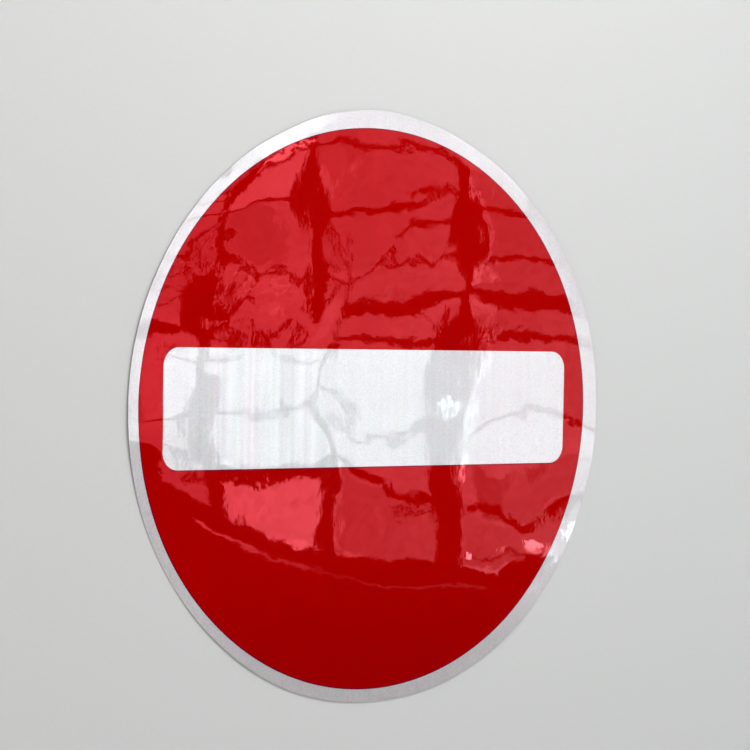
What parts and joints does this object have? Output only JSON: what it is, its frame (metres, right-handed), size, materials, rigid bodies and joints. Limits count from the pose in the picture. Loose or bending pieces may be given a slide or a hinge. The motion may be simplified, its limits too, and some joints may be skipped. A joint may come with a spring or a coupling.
{
  "type": "no-entry road sign sheet",
  "caption": "Round no-entry sign face for road works: a thin white reflective sheet that lies flat, with a red film round a white bar and a white border.",
  "frame": {"origin": "centre of the disc, on its back face, which lies on the ground", "axes": "+Z out of the printed face, +Y to the sign's top, +X to the reader's right"},
  "size_m": [0.5999, 0.6, 0.0006],
  "materials": {
    "white_reflective_sheeting": "glossy, with a fine prismatic pattern",
    "red_film": "clear gloss over a deep red"
  },
  "bodies": {
    "root": {"reflective_sheet": "white_reflective_sheeting", "red_film": "red_film"}
  },
  "joints": []
}
